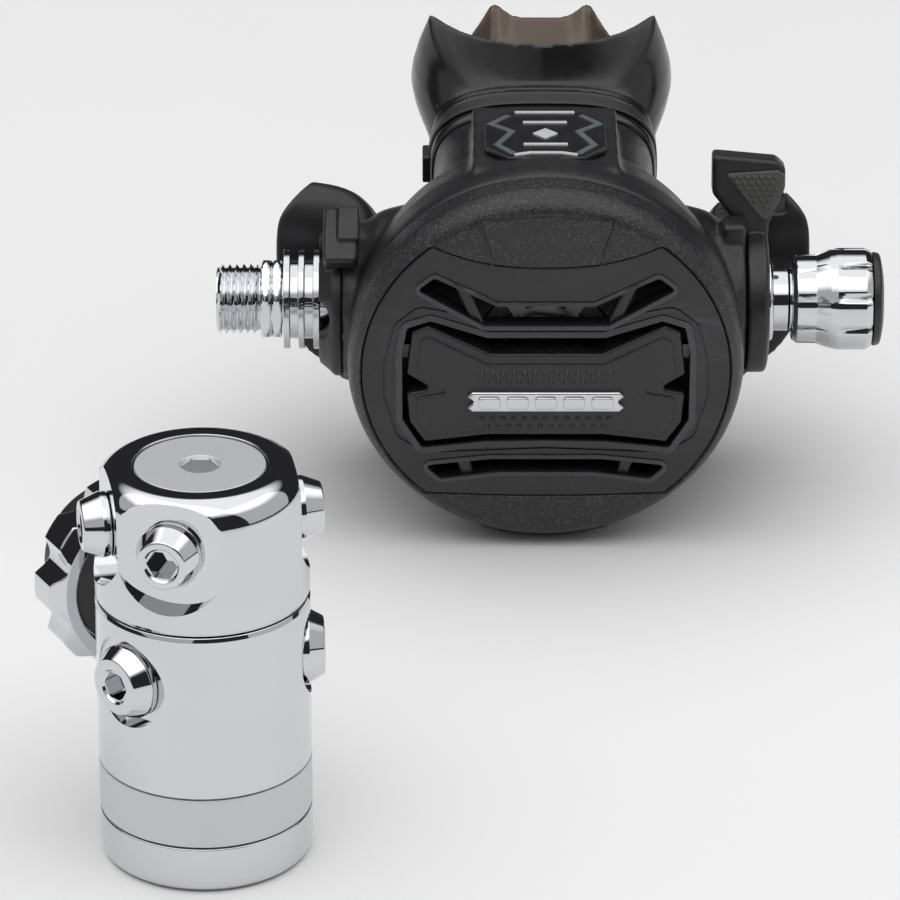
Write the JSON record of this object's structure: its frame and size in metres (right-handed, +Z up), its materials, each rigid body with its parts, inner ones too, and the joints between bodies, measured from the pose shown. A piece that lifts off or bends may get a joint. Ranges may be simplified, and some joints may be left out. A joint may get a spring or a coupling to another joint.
{
  "type": "scuba regulator set",
  "caption": "Two-part breathing regulator: chromed swivel-turret first stage with screw-in cylinder fitting, and a black demand valve with purge cover, adjuster and mouthpiece.",
  "frame": {"origin": "centre of the footprint of both units, on the surface that they stand on", "axes": "+Z up, -Y towards the demand valve's purge cover, +X to the right as seen from the front"},
  "size_m": [0.1628, 0.237, 0.0862],
  "materials": {
    "chrome": "polished chrome plate over brass",
    "satin_chrome": "satin chrome plate",
    "brass": "machined brass",
    "spring_steel": "drawn stainless steel",
    "black_rubber": "matte moulded rubber",
    "black_plastic": "fine matte moulded plastic",
    "grained_plastic": "spark-eroded grain",
    "smooth_plastic": "semi-gloss moulded plastic",
    "grey_plastic": "matte dark grey",
    "smoky_silicone": "translucent smoky silicone"
  },
  "bodies": {
    "first_stage": {"end_cap": "chrome", "environmental_diaphragm": "black_rubber", "diaphragm_clamp": "satin_chrome", "spring_adjuster": "brass", "main_spring": "spring_steel", "main_diaphragm": "black_rubber", "first_stage_body": "chrome", "high_pressure_spring": "spring_steel", "high_port_plug_1": "chrome", "high_port_plug_2": "chrome", "turret_bolt": "satin_chrome", "turret_oring": "black_rubber", "din_stem": "chrome", "din_oring": "black_rubber", "din_filter": "brass"},
    "valve_train": {"hydrostatic_transmitter": "black_plastic", "valve_lifter": "brass", "high_pressure_poppet": "brass"},
    "turret": {"turret": "chrome", "low_port_plug_1": "chrome", "low_port_plug_2": "chrome", "low_port_plug_3": "chrome", "low_port_plug_4": "chrome"},
    "handwheel": {"handwheel": "chrome", "handwheel_disc": "grey_plastic"},
    "dust_cap": {"dust_cap": "black_plastic"},
    "second_stage": {"case_body": "black_plastic", "cover_ring": "grained_plastic", "cover_insert": "smooth_plastic", "spring_plate": "spring_steel", "demand_diaphragm": "smoky_silicone", "purge_spring": "spring_steel", "valve_tube": "brass", "valve_spring": "spring_steel", "inlet_fitting": "chrome", "heat_exchanger": "chrome", "inlet_shroud": "black_plastic", "adjuster_collar": "chrome", "exhaust_tee": "black_plastic", "mouthpiece": "smoky_silicone", "mouthpiece_clamp": "black_plastic", "neck_badge": "smooth_plastic"},
    "purge_button": {"purge_button": "smooth_plastic", "purge_badge": "chrome"},
    "diaphragm_plate": {"diaphragm_plate": "smooth_plastic"},
    "demand_lever": {"demand_lever": "spring_steel"},
    "poppet": {"poppet": "black_plastic"},
    "venturi_lever": {"venturi_lever": "black_plastic", "venturi_pad": "grey_plastic", "venturi_vane": "black_plastic"},
    "adjuster_pin": {"adjuster_pin": "brass", "adjuster_oring": "black_rubber"},
    "adjuster_knob": {"adjuster_shaft": "chrome", "adjuster_knob": "chrome", "knob_cap": "black_plastic"},
    "exhaust_valve": {"exhaust_valve": "smoky_silicone"}
  },
  "joints": [
    {"name": "turret_swivel", "type": "hinge", "parent": "first_stage", "child": "turret", "pos_m": [-0.04939, -0.09647, 0.0636], "axis": [0, 0, 1], "continuous": true},
    {"name": "handwheel_spin", "type": "hinge", "parent": "first_stage", "child": "handwheel", "pos_m": [-0.06235, -0.0721, 0.0431], "axis": [-0.4695, 0.8829, 0], "continuous": true},
    {"name": "dust_cap_pull", "type": "slide", "parent": "handwheel", "child": "dust_cap", "axis": [-0.4695, 0.8829, 0], "range_m": [0, 0.025]},
    {"name": "valve_train_lift", "type": "slide", "parent": "first_stage", "child": "valve_train", "axis": [0, 0, 1], "range_m": [-0.0008, 0], "stiffness_N_per_m": 800, "springref_m": 0.003, "deforming": ["main_spring", "high_pressure_spring", "main_diaphragm"]},
    {"name": "second_stage_slide", "type": "slide", "parent": "first_stage", "child": "second_stage", "axis": [1, 0, 0], "range_m": [0, 0.06]},
    {"name": "purge_press", "type": "slide", "parent": "second_stage", "child": "purge_button", "axis": [0, 0.9936, 0.1132], "range_m": [0, 0.0025], "stiffness_N_per_m": 500, "springref_m": -0.004, "deforming": ["purge_spring", "demand_diaphragm"]},
    {"name": "diaphragm_travel", "type": "slide", "parent": "second_stage", "child": "diaphragm_plate", "axis": [0, 0.9936, 0.1132], "range_m": [0, 0.0026]},
    {"name": "lever_swing", "type": "hinge", "parent": "second_stage", "child": "demand_lever", "pos_m": [0.02367, 0.04282, 0.04267], "axis": [0, 0.1132, -0.9936], "range_deg": [0, 10.5]},
    {"name": "poppet_travel", "type": "slide", "parent": "second_stage", "child": "poppet", "axis": [1, 0, 0], "range_m": [0, 0.001], "deforming": ["valve_spring"]},
    {"name": "venturi_turn", "type": "hinge", "parent": "second_stage", "child": "venturi_lever", "pos_m": [0.05617, 0.05146, 0.04366], "axis": [-1, 0, 0], "range_deg": [0, 40]},
    {"name": "adjuster_travel", "type": "slide", "parent": "second_stage", "child": "adjuster_pin", "axis": [-1, 0, 0], "range_m": [0, 0.0021]},
    {"name": "adjuster_turn", "type": "hinge", "parent": "adjuster_pin", "child": "adjuster_knob", "pos_m": [0.07067, 0.05146, 0.04366], "axis": [-1, 0, 0], "range_deg": [0, 720]},
    {"name": "exhaust_lift", "type": "slide", "parent": "second_stage", "child": "exhaust_valve", "axis": [0, 0.7826, -0.6225], "range_m": [0, 0.0012], "stiffness_N_per_m": 60, "springref_m": -0.001}
  ],
  "couplings": [
    {"joint": "diaphragm_travel", "follows": "purge_press", "ratio": 1},
    {"joint": "lever_swing", "follows": "purge_press", "rad_per_m": 71},
    {"joint": "poppet_travel", "follows": "purge_press", "ratio": 0.36},
    {"joint": "adjuster_travel", "follows": "adjuster_turn", "m_per_rad": 0.00015915}
  ]
}
